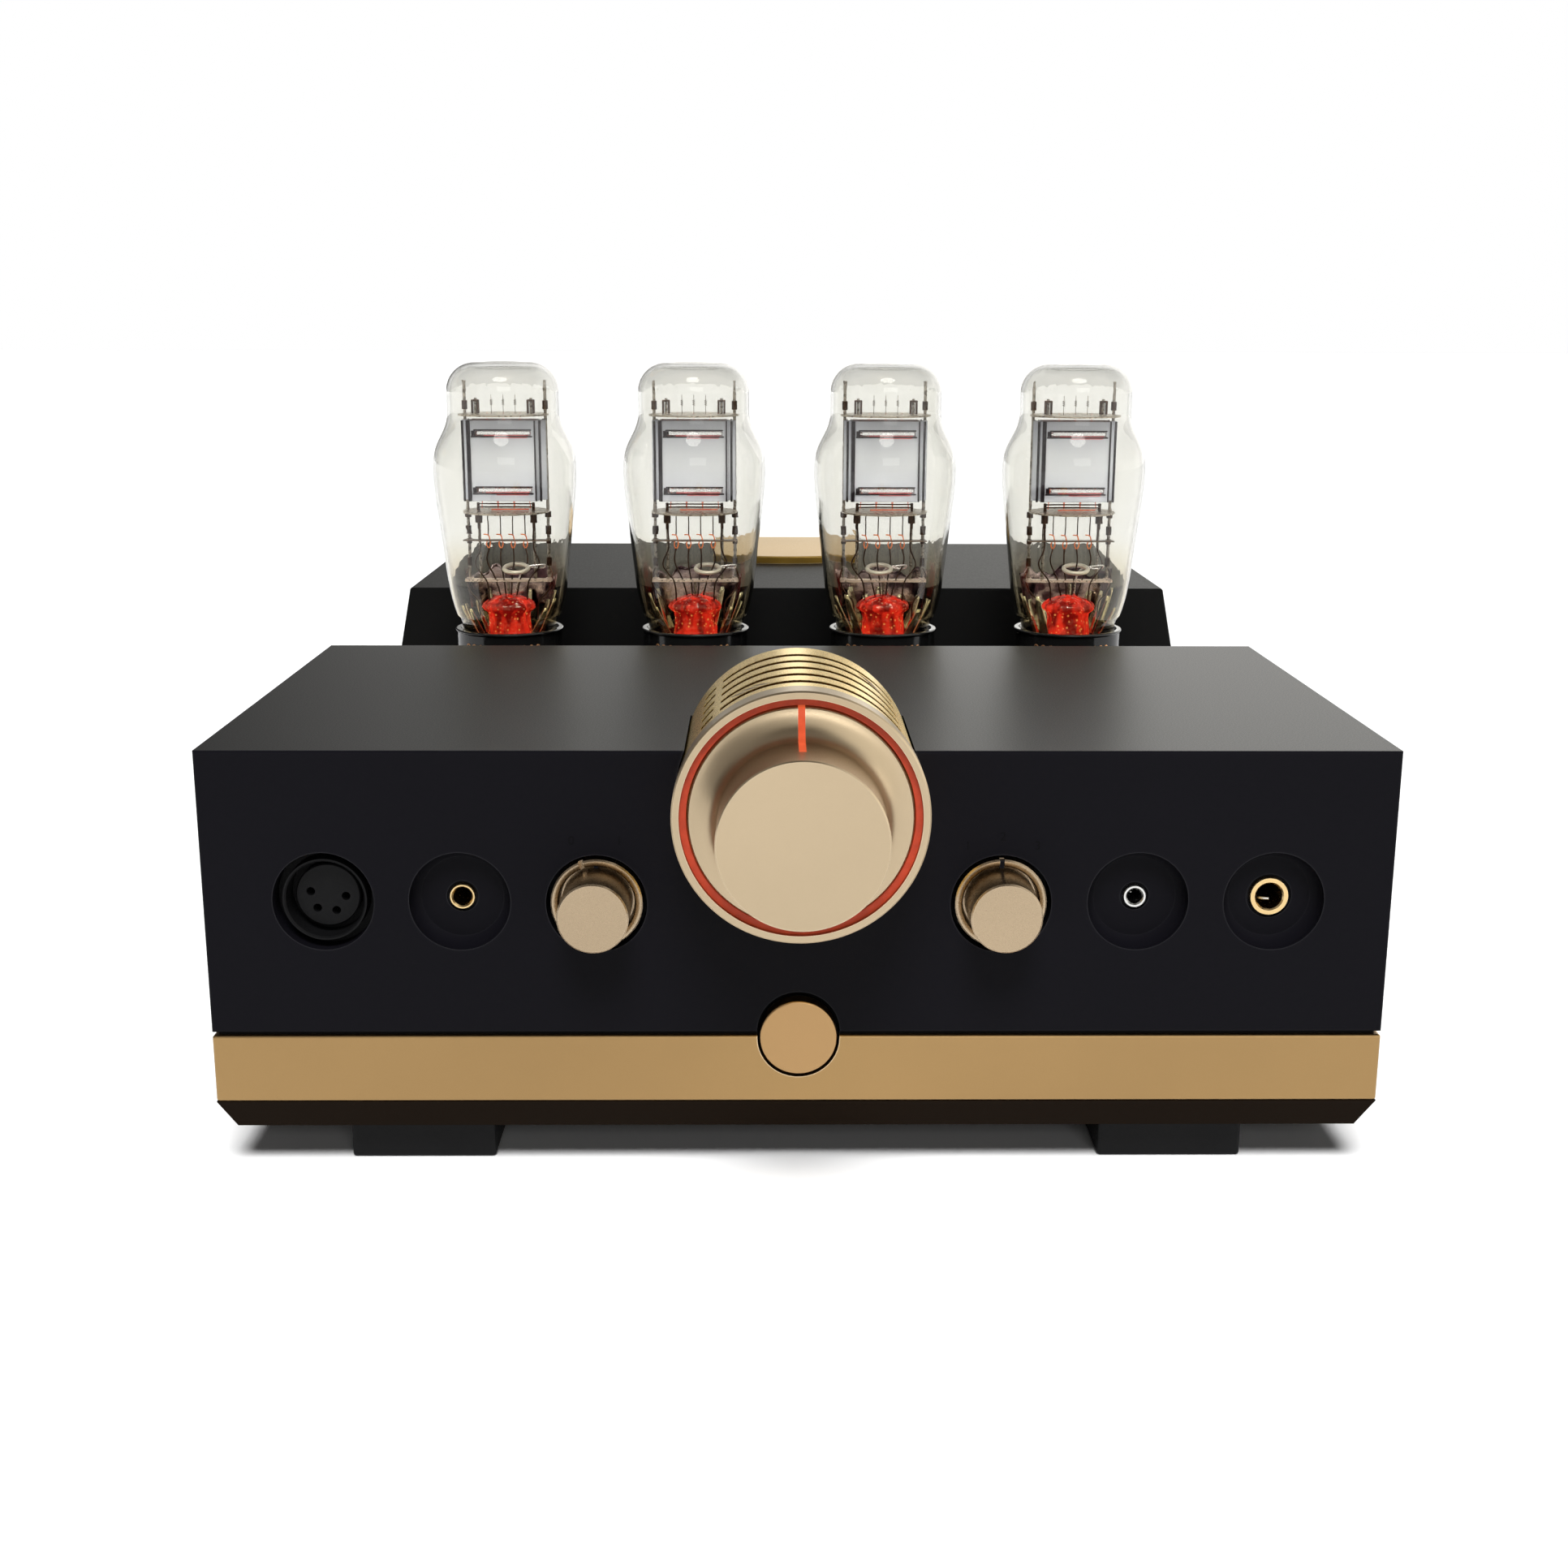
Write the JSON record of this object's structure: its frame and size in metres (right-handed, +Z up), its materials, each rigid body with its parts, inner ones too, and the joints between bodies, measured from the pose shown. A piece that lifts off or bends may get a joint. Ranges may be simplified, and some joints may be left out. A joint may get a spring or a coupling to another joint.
{
  "type": "tube amplifier",
  "caption": "Low desktop headphone amplifier with a large ringed volume knob, plug-in glass tubes in an open bay and a sloped transformer cover behind.",
  "frame": {"origin": "on the standing surface, under the middle of the overall length and width", "axes": "+Y towards the back, -Y is the front panel side, +X to the right seen from the front, +Z up"},
  "size_m": [0.3, 0.476, 0.2023],
  "materials": {
    "panel_black": "fine satin black anodised",
    "housing_grey": "satin dark grey",
    "chassis_black": "satin black powder coat",
    "cover_dark": "satin charcoal",
    "pan_dark": "satin brown black",
    "belt_gold": "blasted champagne gold anodised",
    "badge_gold": "satin gold anodised with a bright edge",
    "barrel_gold": "satin yellow gold anodised",
    "champagne": "satin champagne anodised",
    "selector_gold": "satin champagne anodised, turned",
    "light_red": "translucent red, lit",
    "steel": "turned",
    "screw_black": "black oxide",
    "jack_gold": "gold plated",
    "jack_silver": "nickel plated",
    "insulator_black": "moulded",
    "contact_metal": "plated",
    "socket_ceramic": "unglazed white",
    "led_red": "clear lens, lit red",
    "board_green": "solder mask",
    "capacitor_sleeve": "dark shrink sleeve",
    "core_steel": "varnished laminations",
    "base_black": "polished moulded base",
    "tube_glass": "clear blown glass",
    "anode_grey": "grey coated sheet",
    "mount_metal": "nickel wire, mica and glass stem"
  },
  "bodies": {
    "chassis": {"feet": "insulator_black", "bottom_pan": "pan_dark", "gold_belt": "belt_gold", "front_panel": "panel_black", "front_box_cover": "housing_grey", "main_chassis": "chassis_black", "tube_deck": "chassis_black", "transformer_cover": "cover_dark", "cover_badge": "badge_gold", "rear_panel": "chassis_black", "iec_inlet": "insulator_black", "iec_pins": "contact_metal", "rca_input_jacks": "jack_gold", "xlr_input_sockets": "insulator_black", "case_screws": "screw_black", "tube_sockets": "socket_ceramic", "socket_leds": "led_red", "main_board": "board_green", "filter_capacitors": "capacitor_sleeve", "power_transformer": "core_steel", "output_transformers": "core_steel", "volume_barrel": "barrel_gold", "volume_bezel": "champagne", "volume_light_ring": "light_red", "volume_pot": "insulator_black", "selector_switches": "insulator_black", "power_switch": "insulator_black", "headphone_xlr_socket": "insulator_black", "jack_bodies": "insulator_black", "balanced_4_4_jack": "jack_gold", "headphone_3_5_jack": "jack_silver", "headphone_6_35_jack": "jack_gold"},
    "volume": {"volume_knob": "champagne", "volume_pointer": "light_red", "volume_shaft": "steel"},
    "left_selector": {"left_selector_knob": "selector_gold", "left_selector_shaft": "steel"},
    "right_selector": {"right_selector_knob": "selector_gold", "right_selector_shaft": "steel"},
    "power_button": {"power_button": "champagne"},
    "tube_1": {"tube_1_glass": "tube_glass", "tube_1_base": "base_black", "tube_1_pins": "contact_metal", "tube_1_anode": "anode_grey", "tube_1_mount": "mount_metal"},
    "tube_2": {"tube_2_glass": "tube_glass", "tube_2_base": "base_black", "tube_2_pins": "contact_metal", "tube_2_anode": "anode_grey", "tube_2_mount": "mount_metal"},
    "tube_3": {"tube_3_glass": "tube_glass", "tube_3_base": "base_black", "tube_3_pins": "contact_metal", "tube_3_anode": "anode_grey", "tube_3_mount": "mount_metal"},
    "tube_4": {"tube_4_glass": "tube_glass", "tube_4_base": "base_black", "tube_4_pins": "contact_metal", "tube_4_anode": "anode_grey", "tube_4_mount": "mount_metal"}
  },
  "joints": [
    {"name": "volume_turn", "type": "hinge", "parent": "chassis", "child": "volume", "pos_m": [0, -0.212, 0.1009], "axis": [0, 1, 0], "range_deg": [-150, 150]},
    {"name": "left_selector_turn", "type": "hinge", "parent": "chassis", "child": "left_selector", "pos_m": [-0.051, -0.192, 0.0733], "axis": [0, 1, 0], "range_deg": [0, 40]},
    {"name": "right_selector_turn", "type": "hinge", "parent": "chassis", "child": "right_selector", "pos_m": [0.051, -0.192, 0.0733], "axis": [0, 1, 0], "range_deg": [-30, 30]},
    {"name": "power_press", "type": "slide", "parent": "chassis", "child": "power_button", "axis": [0, 1, 0], "range_m": [0, 0.002], "stiffness_N_per_m": 600, "springref_m": -0.002},
    {"name": "tube_1_lift", "type": "slide", "parent": "chassis", "child": "tube_1", "axis": [0, 0, 1], "range_m": [0, 0.05]},
    {"name": "tube_2_lift", "type": "slide", "parent": "chassis", "child": "tube_2", "axis": [0, 0, 1], "range_m": [0, 0.05]},
    {"name": "tube_3_lift", "type": "slide", "parent": "chassis", "child": "tube_3", "axis": [0, 0, 1], "range_m": [0, 0.05]},
    {"name": "tube_4_lift", "type": "slide", "parent": "chassis", "child": "tube_4", "axis": [0, 0, 1], "range_m": [0, 0.05]}
  ]
}
